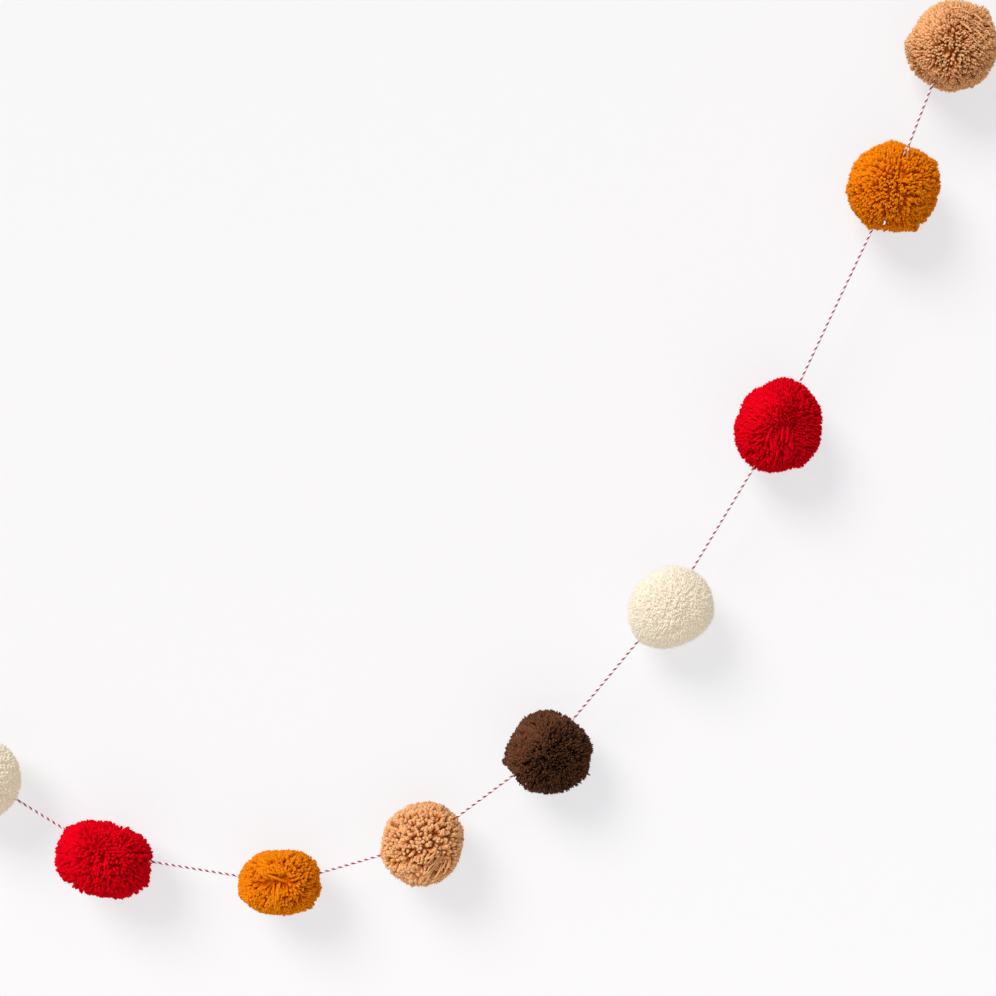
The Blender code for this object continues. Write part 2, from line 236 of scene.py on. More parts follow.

# How a yarn looks once it is wound and cut. depth is how light the painted shade between
# its strands stays and warmth how far its colour turns in that painted shade, mottle is how
# unevenly it took its dye, sheen is the colour of its fibre ends against the light and how
# strong that is, shine and rough its lustre, glow how much light goes through it and how far
# in millimetres, heart how full the ball is below its strands' tips, and the last is the
# strength of a painted glow, an emission that stands in for the light that comes back from
# the inside of the ball and keeps pale wool's shades light.
Yarn = namedtuple(
    "Yarn",
    "depth warmth mottle sheen_colour sheen shine rough glow glow_reach heart scatter",
)
YARNS = {
    "tan": Yarn(0.74, -0.014, 0.34, "F3DCC8", 0.36, 0.0, 0.9, 0.35, 0.8, 0.82, 0.0),
    "mustard": Yarn(0.88, -0.014, 0.26, "F2B04A", 0.12, 0.0, 0.9, 0.35, 0.8, 0.85, 0.0),
    "red": Yarn(0.92, 0.0, 0.30, "D81020", 0.08, 0.0, 0.9, 0.35, 0.8, 0.89, 0.0),
    "cream": Yarn(0.92, -0.005, 0.11, "FFF8EE", 0.45, 0.0, 0.9, 0.3, 0.4, 0.92, 0.36),
    "brown": Yarn(0.05, 0.0, 1.30, "C99A80", 0.34, 0.05, 0.6, 0.2, 0.4, 0.76, 0.0),
}

# Rings of a strand: share of the way from root to tip, thickness as a share of the yarn's
FINE_RINGS = ((0.0, 0.72), (0.70, 1.0), (0.96, 0.86))
THICK_RINGS = ((0.0, 0.66), (0.55, 0.95), (0.84, 1.0), (0.97, 0.76))
LAID_RINGS = ((0.0, 0.70), (0.30, 1.0), (0.60, 1.05), (0.85, 1.0), (0.97, 0.7))
FIBRE_RINGS = ((0.0, 1.0),)
# Yarn from THICK_YARN millimetres up has a ring more, and yarn below FINE_YARN a side less
THICK_YARN = 2.0
FINE_YARN = 1.5
STRAND_SIDES = 5
FINE_SIDES = 4
FIBRE_SIDES = 3

# Standing strands: where they start and bend, as shares of the ball's reach, how unevenly
# thick they are, and the dome and the raggedness of their cut ends, as shares of their
# thickness. The cut end is all past CUT_SHARE of the way.
ROOT_SHARE = 0.62
BEND_SHARE = 0.84
UNEVEN_YARN = (0.78, 1.2)
TIP_DOME = 0.25
CUT_SHARE = 0.9
FRAY = 0.10
# Each strand shows its own stretch of the fibres' pattern, out of this many millimetres
PATTERN_ROOM = 500
# How far places stray from an even spread, as shares of the distance between them
STRAND_JITTER = 0.22
TUFT_JITTER = 0.25
FAN_JITTER = 0.2
FIBRE_JITTER = 0.5

# Fans: the front one's weight against the random ones behind, how soon strands lean
# beside a fan's middle, and how near the front a random fan may be, as a cosine
FRONT_FAN_WEIGHT = 0.55
FAN_EASE = 1.4
BACK_FANS = 9
BACK_FAN_LIMIT = 0.1
# Half the width of a part, as a share of the pompom's radius
PART_WIDTH = 0.22
# Combed strands stray this share as far as loose ones, and single strands this share as
# far as their tuft. A tuft is trimmed this share as unevenly as a strand, and has this
# share in its strands' tint.
COMBED_STRAY = 0.5
STRAND_STRAY = 0.7
TUFT_LOOSE = 0.6
TUFT_TINT = 0.35
# Felted strands are painted lighter, and opened ones darker, by this share of how far they
# have closed up or opened: painted light and painted shade
FELT_PAINTED_TONE = 0.45

# Strands brushed flat: their length in millimetres, how far they spread over the comb's
# place, stray from its angle and lie high or low, how unevenly thick they are, how deep
# their roots go and how far they are kept out of the painted shade between strands
LAID_LENGTH = (8.0, 13.0)
LAID_SPREAD = 0.55
LAID_STRAY = 0.16
LAID_UNEVEN = 0.6
LAID_THICKNESS = (0.85, 1.15)
LAID_ROOT = 0.90
LAID_BARED = 0.8

# Single fibres: their length, thickness and depth under the surface in millimetres, how
# far they lean, how light they are and how far they are kept out of the painted shade between
# strands
FIBRE_LENGTH = (1.4, 3.0)
FIBRE_THICKNESS = 0.16
FIBRE_ROOT = 0.8
FIBRE_LEAN = 0.55
FIBRE_TINT = (0.3, 1)
FIBRE_BARED = 0.9

# Heart of a pompom: how dark it is painted, as painted shade between the strands, how uneven it is,
# and how finely it is cut up
HEART_PAINTED_SHADE = -0.2
HEART_UNEVEN = (0.98, 1.02)
HEART_DETAIL = 3

# The solid's locks are smoothed out over this angle, from this many places round each
SMOOTHING = math.radians(13)
SMOOTHING_PLACES = 6
# Slanted lines from which sideways directions on a ball and round the twine are taken
BALL_SLANT = (0.3, 0.2, 0.9)
TWINE_SLANT = (0.02, 1.0, 0.03)
# A pompom's radius in millimetres, on average
MEAN_RADIUS = 25
GOLDEN_ANGLE = math.pi * (3 - math.sqrt(5))

# Wool's fibres are 0.02 mm thick, too fine to show: they are drawn 0.3 mm wide and 2.4 mm
# long. They give this share of the tone, round a middle tone, and a strand is painted with
# the shade between strands up to this share of its length.
FIBRE_DRAWN_WIDTH = 0.3
FIBRE_DRAWN_LENGTH = 2.4
FIBRE_STREAKS = 0.30
MIDDLE_TONE = 0.95
SHADED_SHARE = 0.60
# The painted glow's colour is the wool's colour to this power, as if light that had gone from
# strand to strand had taken the dye's colour this many times
PAINTED_GLOW_POWER = 4
# Cotton's ridges of fibre are drawn 0.3 mm apart, coarser than the real ones, with this
# share of the light between them. The bands of a wave texture have ten radians to a unit.
RIDGE_SPACING = math.pi / 10
WAVE_RADIANS = 10
RIDGE_SHADE = 0.78
COTTON_GLOW = 0.6


def linear(hex_colour):
    """An sRGB hex colour as linear red, green and blue."""
    channels = [int(hex_colour[place:place + 2], 16) / 255 for place in (0, 2, 4)]
    return tuple(c / 12.92 if c <= 0.04045 else ((c + 0.055) / 1.055) ** 2.4 for c in channels)


def colour_prop(name, description, hex_colour):
    """A colour that a user can change."""
    return bpy.props.FloatVectorProperty(
        name=name, description=description, subtype="COLOR", size=3, min=0, max=1,
        default=linear(hex_colour),
    )


def length_prop(name, description, millimetres):
    """A size that a user can change."""
    return bpy.props.FloatProperty(
        name=name, description=description, subtype="DISTANCE", unit="LENGTH", min=0,
        default=millimetres * MM, precision=5,
    )


class GarlandYarnSettings(bpy.types.PropertyGroup):
    """Colours of the pompoms' yarn"""
    tan: colour_prop("Tan", "Colour of the tan yarn", "DBA372")
    mustard: colour_prop("Mustard", "Colour of the mustard yarn", "D97A0D")
    red: colour_prop("Red", "Colour of the red yarn", "CA0418")
    cream: colour_prop("Cream", "Colour of the cream yarn", "F5EFE4")
    brown: colour_prop("Brown", "Colour of the dark brown yarn", "4F2D1A")


class GarlandTwineSettings(bpy.types.PropertyGroup):
    """Sizes and colours of the baker's twine"""
    diameter: length_prop("Diameter", "Thickness of the twine over its plies", TWINE_DIAMETER)
    twist: length_prop("Twist", "Length of twine in one full turn of its plies", PLY_TWIST)
    white: colour_prop("White plies", "Colour of the bleached cotton plies", "FFF9F9")
    red: colour_prop("Red plies", "Colour of the dyed cotton plies", "AA4660")


class GarlandStageSettings(bpy.types.PropertyGroup):
    """The wall behind the garland, the floor and the light"""
    wall_gap: length_prop("Wall gap", "From the twine to the wall behind it", 29)
    floor_drop: length_prop("Floor drop", "From the hanging point down to the floor", 950)
    key: bpy.props.FloatProperty(
        name="Key light", description="Strength of the soft light from the upper left",
        default=3.03, min=0,
    )
    key_angle: bpy.props.FloatProperty(
        name="Key softness", description="Angle that the key light fills",
        default=math.radians(29), min=0, subtype="ANGLE", unit="ROTATION",
    )
    fill: bpy.props.FloatProperty(
        name="Fill light", description="Strength of the even light all round",
        default=0.42, min=0,
    )


def add_node(tree, kind, settings=None, links=None):
    """Adds a node, gives it its settings by property or socket, and links its sockets."""
    node = tree.nodes.new(kind)
    for name, value in (settings or {}).items():
        if isinstance(name, str) and hasattr(node, name):
            setattr(node, name, value)
        else:
            node.inputs[name].default_value = value
    for name, output in (links or {}).items():
        tree.links.new(output, node.inputs[name])
    return node


def new_material(name, **sockets):
    """A material with these values on its shader's sockets."""
    material = bpy.data.materials.new(name)
    material.use_nodes = True
    shader = material.node_tree.nodes["Principled BSDF"]
    for socket, value in sockets.items():
        shader.inputs[socket.replace("_", " ")].default_value = value
    return material, material.node_tree, shader


def wool_yarn(name, colour):
    """Worsted wool yarn, spun softly, dyed and cut: matt, with a faint sheen where fibre
    ends stand up, lighter at the tips, with painted shade deeper between the strands, and for
    pale yarn a painted glow. A strand's first two values are how light it is painted, its dye
    with painted light and shade on felts and the heart, and how far along it the painted shade
    gives way to its own colour."""
    yarn = YARNS[name]
    # Painted glow: an emission in the wool's colour, deepened, stands in for light that comes back
    # from inside the ball, and the base colour is made darker to go with it
    painted_glow_colour = tuple(c ** PAINTED_GLOW_POWER for c in colour)
    colour = tuple(c * (1 - yarn.scatter) for c in colour)
    material, tree, shader = new_material(
        "worsted_wool_" + name, Roughness=yarn.rough, Specular_IOR_Level=yarn.shine,
        Emission_Color=(*painted_glow_colour, 1.0), Emission_Strength=yarn.scatter,
        Sheen_Weight=yarn.sheen, Sheen_Roughness=0.4,
        Sheen_Tint=(*linear(yarn.sheen_colour), 1.0),
        Subsurface_Weight=yarn.glow, Subsurface_Radius=colour,
        Subsurface_Scale=yarn.glow_reach * MM,
    )
    strand = add_node(tree, "ShaderNodeAttribute", {"attribute_name": "strand"})
    parts = add_node(tree, "ShaderNodeSeparateXYZ", links={0: strand.outputs["Vector"]})
    local = add_node(tree, "ShaderNodeAttribute", {"attribute_name": "local_mm"})
    across, lengthwise = 1 / FIBRE_DRAWN_WIDTH, 1 / FIBRE_DRAWN_LENGTH
    stretched = add_node(
        tree, "ShaderNodeMapping", {"Scale": (across, across, lengthwise)},
        {"Vector": local.outputs["Vector"]},
    )
    fibres = add_node(
        tree, "ShaderNodeTexNoise", {"Scale": 1.0, "Detail": 3.0, "Roughness": 0.6},
        {"Vector": stretched.outputs["Vector"]},
    )
    # Painted shade between the strands: the yarn's colour made darker by depth and turned by warmth
    deep = add_node(
        tree, "ShaderNodeHueSaturation",
        {"Hue": 0.5 + yarn.warmth, "Saturation": 1.3, "Value": yarn.depth,
         "Color": (*colour, 1.0)},
    )
    reach = add_node(
        tree, "ShaderNodeMapRange",
        {"interpolation_type": "SMOOTHSTEP", "From Min": SHADED_SHARE, "From Max": 1.0},
        {"Value": parts.outputs["Y"]},
    )
    # Each strand runs from that painted shade low down to its own colour at its tip
    dyed = add_node(
        tree, "ShaderNodeMixRGB", {"Color2": (*colour, 1.0)},
        {"Fac": reach.outputs["Result"], "Color1": deep.outputs["Color"]},
    )
    shade = add_node(
        tree, "ShaderNodeMath",
        {"operation": "MULTIPLY_ADD", 1: yarn.mottle, 2: MIDDLE_TONE - yarn.mottle / 2},
        {0: parts.outputs["X"]},
    )
    streak = add_node(
        tree, "ShaderNodeMath", {"operation": "MULTIPLY_ADD", 1: FIBRE_STREAKS},
        {0: fibres.outputs["Fac"], 2: shade.outputs[0]},
    )
    toned = add_node(
        tree, "ShaderNodeHueSaturation", {},
        {"Value": streak.outputs[0], "Color": dyed.outputs["Color"]},
    )
    bump = add_node(
        tree, "ShaderNodeBump", {"Strength": 0.6, "Distance": 0.25 * MM},
        {"Height": fibres.outputs["Fac"]},
    )
    tree.links.new(toned.outputs["Color"], shader.inputs["Base Color"])
    tree.links.new(bump.outputs["Normal"], shader.inputs["Normal"])
    return material


def cotton_ply(name, colour):
    """Mercerised cotton, spun hard into a ply of baker's twine: a slight lustre, with
    fine ridges of fibre that lie across the ply."""
    material, tree, shader = new_material(
        "cotton_ply_" + name, Roughness=0.7, Sheen_Weight=0.15, Specular_IOR_Level=0.35,
        Subsurface_Weight=0.5, Subsurface_Radius=colour, Subsurface_Scale=COTTON_GLOW * MM,
    )
    local = add_node(tree, "ShaderNodeAttribute", {"attribute_name": "local_mm"})
    ridges = add_node(
        tree, "ShaderNodeTexWave",
        {"bands_direction": "DIAGONAL", "Scale": math.tau / (WAVE_RADIANS * RIDGE_SPACING),
         "Distortion": 1.5, "Detail": 2.0},
        {"Vector": local.outputs["Vector"]},
    )
    toned = add_node(
        tree, "ShaderNodeMixRGB",
        {"Color1": (*[RIDGE_SHADE * c for c in colour], 1.0), "Color2": (*colour, 1.0)},
        {"Fac": ridges.outputs["Fac"]},
    )
    bump = add_node(
        tree, "ShaderNodeBump", {"Strength": 0.5, "Distance": 0.06 * MM},
        {"Height": ridges.outputs["Fac"]},
    )
    tree.links.new(toned.outputs["Color"], shader.inputs["Base Color"])
    tree.links.new(bump.outputs["Normal"], shader.inputs["Normal"])
    return material


def unit(vectors):
    """The same directions, each with a length of one."""
    return vectors / np.linalg.norm(vectors, axis=-1, keepdims=True)


def spread_directions(count, rng, jitter=0.0):
    """Directions spread evenly over a ball on a golden spiral, each a little off its place."""
    number = np.arange(count) + 0.5
    height = 1 - 2 * number / count
    turn = number * GOLDEN_ANGLE
    across = np.sqrt(1 - height ** 2)
    directions = np.stack([across * np.cos(turn), across * np.sin(turn), height], 1)
    directions += rng.normal(0, jitter * math.sqrt(4 * math.pi / count), directions.shape)
    axes, _ = np.linalg.qr(rng.normal(size=(3, 3)))
    return unit(directions @ axes)


def add_mesh(name, points, faces, materials, face_materials=None, **attributes):
    """A smooth mesh object with named attributes on its points."""
    mesh = bpy.data.meshes.new(name)
    mesh.from_pydata(points.tolist(), [], faces)
    for material in materials:
        mesh.materials.append(material)
    if face_materials is not None:
        mesh.polygons.foreach_set("material_index", face_materials)
    for key, values in attributes.items():
        layer = mesh.attributes.new(key, "FLOAT_VECTOR", "POINT")
        layer.data.foreach_set("vector", np.asarray(values, np.float32).ravel())
    mesh.shade_smooth()
    mesh.update()
    obj = bpy.data.objects.new(name, mesh)
    bpy.context.scene.collection.objects.link(obj)
    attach(obj, BODY)
    return obj


class Ball:
    """The space that a pompom's solid holds: its centre, and its reach in any direction."""

    def __init__(self, row):
        low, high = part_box(row.node)
        self.centre = (Vector(low) + Vector(high)) / 2
        self.swells = [(heading_at(bump.angle), bump.rise, bump.spread) for bump in row.bumps]
        self.swells += [(front_place(dent.x, dent.z), dent.rise, dent.spread) for dent in row.dents]
        bm = bmesh.new()
        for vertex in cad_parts[row.node].data.vertices:
            bm.verts.new(vertex.co)
        bmesh.ops.convex_hull(bm, input=bm.verts)
        self.hull = BVHTree.FromBMesh(bm)
        bm.free()

    def reach(self, directions):
        """Distance from the centre to the trimmed surface, in metres."""
        side = unit(np.cross(directions, BALL_SLANT))
        up = np.cross(directions, side)
        around = [directions]
        for turn in np.arange(SMOOTHING_PLACES) * (math.tau / SMOOTHING_PLACES):
            lean = side * math.cos(turn) + up * math.sin(turn)
            around.append(unit(directions + lean * math.tan(SMOOTHING)))
        hits = [self.hull.ray_cast(self.centre, Vector(d))[3] for d in np.concatenate(around)]
        reach = np.array(hits).reshape(len(around), -1).mean(0)
        for place, rise, spread in self.swells:
            off = angle_from(directions, place)
            reach += rise * MM * np.exp(-(off / math.radians(spread)) ** 2)
        return reach


def angle_from(directions, place):
    """The angle between each direction and the place's."""
    return np.arccos(np.clip(directions @ place, -1, 1))


def heading_at(degrees):
    """The direction at an angle above +X, seen from the front."""
    return np.array((math.cos(math.radians(degrees)), 0.0, math.sin(math.radians(degrees))))


def front_place(x, z):
    """The direction of a place on the front of a pompom, in shares of its radius."""
    return np.array((x, -math.sqrt(max(0.0, 1 - x * x - z * z)), z))


def fan_lean(roots, row, rng):
    """Strands lean away from the nearest fan's middle, and stand upright midway to the next."""
    front = front_place(row.fan.x, row.fan.z)
    behind = spread_directions(BACK_FANS, rng, FAN_JITTER)
    fans = [front] + [place for place in behind if place @ front < BACK_FAN_LIMIT]
    off = np.stack([angle_from(roots, place) for place in fans], 1)
    off[:, 0] *= FRONT_FAN_WEIGHT
    order = np.sort(off, 1)
    share = 2 * order[:, 0] / (order[:, 0] + order[:, 1])
    place = np.array(fans)[off.argmin(1)]
    away = unit(roots * (roots * place).sum(1, keepdims=True) - place + 1e-9)
    return away * (np.sin(share * math.pi) ** FAN_EASE * row.fan.shift)[:, None]


def lean_of(roots, row, rng):
    """How far each strand's tip leans sideways and how high it is trimmed, in millimetres,
    and how light its dye is."""
    brushed, free = np.zeros(roots.shape), np.ones(len(roots))
    for comb in row.combs:
        off = angle_from(roots, front_place(comb.x, comb.z)) / math.radians(comb.spread)
        near = np.exp(-off ** 2)
        brushed += np.outer(near * comb.shift, heading_at(comb.toward))
        free *= 1 - near
    lean = brushed + fan_lean(roots, row, rng) * free[:, None]
    stray = row.stray * (COMBED_STRAY + (1 - COMBED_STRAY) * free[:, None])
    for part in row.parts:
        line, across = heading_at(part.angle), heading_at(part.angle + 90)
        off = roots - front_place(part.x, part.z)
        near = np.exp(-(off @ line / part.run) ** 4 - (off @ across / PART_WIDTH) ** 2)
        near *= roots[:, 1] < 0
        lean += np.outer(np.sign(off @ across) * near * part.shift, across)
    tufts = spread_directions(row.strands // row.tuft, rng, TUFT_JITTER)
    nearest = (roots @ tufts.T).argmax(1)
    lean += (tufts[nearest] - roots) * MEAN_RADIUS * row.gather
    lean += rng.normal(0, 1, tufts.shape)[nearest] * stray
    lean += rng.normal(0, STRAND_STRAY, roots.shape) * stray
    rise = rng.normal(0, row.loose * TUFT_LOOSE, len(tufts))[nearest]
    tint = TUFT_TINT * rng.uniform(0, 1, len(tufts))[nearest]
    tint += (1 - TUFT_TINT) * rng.uniform(0, 1, len(roots))
    return lean, rise + rng.normal(0, row.loose, len(roots)), tint


def felting(roots, row):
    """How far the yarn has closed up round each strand, or opened."""
    full = np.zeros(len(roots))
    for felt in row.felts:
        off = angle_from(roots, front_place(felt.x, felt.z)) / math.radians(felt.spread)
        near = felt.full * np.exp(-off ** 4)
        full = np.where(np.abs(near) > np.abs(full), near, full)
    return full


def laid_strands(row, comb, ball, rng):
    """Strands that were brushed flat, and show their whole length on the surface."""
    place = front_place(comb.x, comb.z)
    around = rng.normal(0, math.radians(comb.spread) * LAID_SPREAD, (comb.laid, 3))
    middle = unit(place + around)
    reach = ball.reach(middle)[:, None]
    brushed = unit(heading_at(comb.toward) + rng.normal(0, LAID_STRAY, middle.shape))
    half = brushed * rng.uniform(*LAID_LENGTH, (comb.laid, 1)) / 2 * MM
    start, end = unit(middle * reach - half), unit(middle * reach + half)
    lift = (comb.lift + rng.uniform(-LAID_UNEVEN, LAID_UNEVEN, (comb.laid, 1))) * MM
    thick = row.thick * comb.slim * MM * rng.uniform(*LAID_THICKNESS, comb.laid)
    return strand_mesh(
        start * ball.reach(start)[:, None] * LAID_ROOT, middle * (reach + lift),
        end * (ball.reach(end)[:, None] + lift / 2), LAID_RINGS, thick, rng,
        rng.uniform(0, 1, comb.laid), np.full(comb.laid, LAID_BARED),
    )


def fuzz(row, ball, rng):
    """Single fibres that stand out of the trimmed surface and soften its outline."""
    roots = spread_directions(row.fuzz, rng, FIBRE_JITTER)
    start = roots * (ball.reach(roots)[:, None] - FIBRE_ROOT * MM)
    heading = unit(roots + rng.normal(0, FIBRE_LEAN, roots.shape))
    run = heading * rng.uniform(*FIBRE_LENGTH, (row.fuzz, 1)) * MM
    thick = np.full(row.fuzz, FIBRE_THICKNESS * MM)
    return strand_mesh(
        start, start + run / 2, start + run, FIBRE_RINGS, thick, rng,
        rng.uniform(*FIBRE_TINT, row.fuzz), np.full(row.fuzz, FIBRE_BARED), sides=FIBRE_SIDES,
    )


def strand_mesh(start, bend, end, rings, thick, rng, tint, bared, sides=STRAND_SIDES):
    """Yarn strands that bend from their roots to their tips. tint is how light each one is
    painted, its dye with any painted light and shade, and bared how far it is kept out of the
    painted shade between strands over its whole length."""
    count = len(start)
    side = unit(np.cross(unit(end - start), unit(rng.normal(size=start.shape))))
    phase = rng.uniform(0, math.tau, (count, 1))
    angle = phase + np.arange(sides) * (math.tau / sides)
    offset = rng.uniform(0, PATTERN_ROOM, (count, 3))
    length = np.linalg.norm(end - start, axis=1)
    points, local, along = [], [], []
    for share, width in rings:
        middle = (start * (1 - share) ** 2 + bend * (2 * share * (1 - share))
                  + end * share ** 2)
        heading = unit((bend - start) * (1 - share) + (end - bend) * share)
        u = unit(side - heading * (side * heading).sum(1, keepdims=True))
        v = np.cross(heading, u)
        ragged = rng.normal(0, FRAY, (2, *angle.shape)) * (share > CUT_SHARE)
        size = thick[:, None] / 2 * (width + ragged[0])
        x, y = size * np.cos(angle), size * np.sin(angle)
        lift = ragged[1] * thick[:, None]
        points.append(middle[:, None] + x[..., None] * u[:, None] + y[..., None] * v[:, None]
                      + lift[..., None] * heading[:, None])
        run = np.broadcast_to((share * length)[:, None], x.shape)
        local.append(np.stack([x, y, run], 2) / MM + offset[:, None])
        along.append(np.full(x.shape, share))
    points.append((end + unit(end - bend) * (TIP_DOME * thick)[:, None])[:, None])
    local.append((offset + np.outer(length / MM, (0, 0, 1)))[:, None])
    along.append(np.ones((count, 1)))
    points = np.concatenate(points, 1)
    per_strand = points.shape[1]
    quads, caps = [], []
    last = (len(rings) - 1) * sides
    for corner in range(sides):
        beside = (corner + 1) % sides
        caps.append((last + corner, last + beside, per_strand - 1))
        for ring in range(0, last, sides):
            above = ring + sides
            quads.append((ring + corner, ring + beside, above + beside, above + corner))
    starts = (np.arange(count) * per_strand)[:, None, None]
    faces = (np.array(caps)[None] + starts).reshape(-1, 3).tolist()
    if quads:
        faces += (np.array(quads)[None] + starts).reshape(-1, 4).tolist()
    tint = np.repeat(tint, per_strand)
    bared = np.repeat(bared, per_strand)
    along = bared + (1 - bared) * np.concatenate(along, 1).ravel()
    return {
        "points": points.reshape(-1, 3), "faces": faces,
        "strand": np.stack([tint, along, 0 * tint], 1),
        "local_mm": np.concatenate(local, 1).reshape(-1, 3),
    }


def heart_mesh(row, ball, rng):
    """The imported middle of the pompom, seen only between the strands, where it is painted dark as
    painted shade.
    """
    bm = bmesh.new()
    bmesh.ops.create_icosphere(bm, subdivisions=HEART_DETAIL, radius=1.0)
    directions = unit(np.array([vertex.co[:] for vertex in bm.verts]))
    faces = [[vertex.index for vertex in face.verts] for face in bm.faces]
    bm.free()
    reach = ball.reach(directions) * YARNS[row.yarn].heart
    reach *= rng.uniform(*HEART_UNEVEN, len(directions))
    points = directions * reach[:, None]
    return {
        "points": points, "faces": faces,
        "strand": np.tile((HEART_PAINTED_SHADE, 0.0, 0.0), (len(points), 1)), "local_mm": points / MM,
    }


def joined(meshes):
    """One mesh of several, as made by strand_mesh."""
    faces, first = [], 0
    for mesh in meshes:
        faces += [[corner + first for corner in face] for face in mesh["faces"]]
        first += len(mesh["points"])
    keys = [key for key in meshes[0] if key != "faces"]
    return {"faces": faces, **{key: np.concatenate([mesh[key] for mesh in meshes]) for key in keys}}


def make_pompom(row, material):
    """A pompom's yarn: standing strands, strands brushed flat, a heart and loose fibres."""
    rng = np.random.default_rng(row.seed)
    ball = Ball(row)
    roots = spread_directions(row.strands, rng, STRAND_JITTER)
    root_reach = ball.reach(roots)[:, None]
    lean, rise, tint = lean_of(roots, row, rng)
    tips = unit(roots * root_reach + lean * MM)
    reach = ball.reach(tips)[:, None] + rise[:, None] * MM
    full = felting(roots, row)
    thick = row.thick * MM * rng.uniform(*UNEVEN_YARN, len(roots)) * (1 + full)
    # Felts paint their strands lighter or darker, painted light and shade, and keep them out of or
    # sink them into the painted shade between strands
    strands = strand_mesh(
        roots * ROOT_SHARE * root_reach, roots * BEND_SHARE * root_reach, tips * reach,
        FINE_RINGS if row.thick < THICK_YARN else THICK_RINGS, thick, rng,
        tint + FELT_PAINTED_TONE * full, full,
        sides=FINE_SIDES if row.thick < FINE_YARN else STRAND_SIDES,
    )
    laid = [laid_strands(row, comb, ball, rng) for comb in row.combs if comb.laid]
    whole = joined([strands, heart_mesh(row, ball, rng), *laid, fuzz(row, ball, rng)])
    pompom = add_mesh(
        "yarn_" + row.node, whole["points"] + np.array(ball.centre), whole["faces"], [material],
        strand=whole["strand"], local_mm=whole["local_mm"],
    )
    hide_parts(row.node)
    return pompom


def span_directions():
    """Down-the-twine directions of the spans: equal pompoms change the slope by equal steps."""
    angles = [math.atan(TOP_SLOPE - SLOPE_STEP * number) for number in range(len(SPANS))]
    return [np.array((-math.cos(angle), 0.0, -math.sin(angle))) for angle in angles]


def twine_path():
    """The twine's centreline from knot to knot: taut spans, eased round each bend."""
    directions = span_directions()
    point = np.zeros(3)
    line = [directions[0] * LOOP_LENGTH * MM]
    for span, before, after in zip(SPANS, directions, directions[1:]):
        point = point + before * span * MM
        first, last = point - before * BEND_EASE * MM, point + after * BEND_EASE * MM
        for t in np.linspace(0, 1, EASE_STEPS + 1):
            line.append(first * (1 - t) ** 2 + point * (2 * t * (1 - t)) + last * t ** 2)
    hang_left = point + directions[-1] * SPANS[-1] * MM
    line.append(hang_left - directions[-1] * LOOP_LENGTH * MM)
    return np.array(line), hang_left, directions


def even_steps(line, step):
    """Points at even distances along a line of points."""
    reach = np.concatenate([[0], np.cumsum(np.linalg.norm(np.diff(line, axis=0), axis=1))])
    wanted = np.linspace(0, reach[-1], max(2, round(reach[-1] / step) + 1))
    return np.stack([np.interp(wanted, reach, line[:, axis]) for axis in range(3)], 1)


def smooth_line(points, steps=8):
    """A smooth line through points, with steps pieces between each two."""
    points = np.array(points)
    padded = np.concatenate([[2 * points[0] - points[1]], points, [2 * points[-1] - points[-2]]])
    t = np.linspace(0, 1, steps, endpoint=False)[:, None]
    line = []
    for a, b, c, d in zip(padded, padded[1:], padded[2:], padded[3:]):
        line.extend(
            0.5 * (2 * b + (c - a) * t + (2 * a - 5 * b + 4 * c - d) * t ** 2
                   + (3 * b - a - 3 * c + d) * t ** 3)
        )
    return np.array(line + [points[-1]])


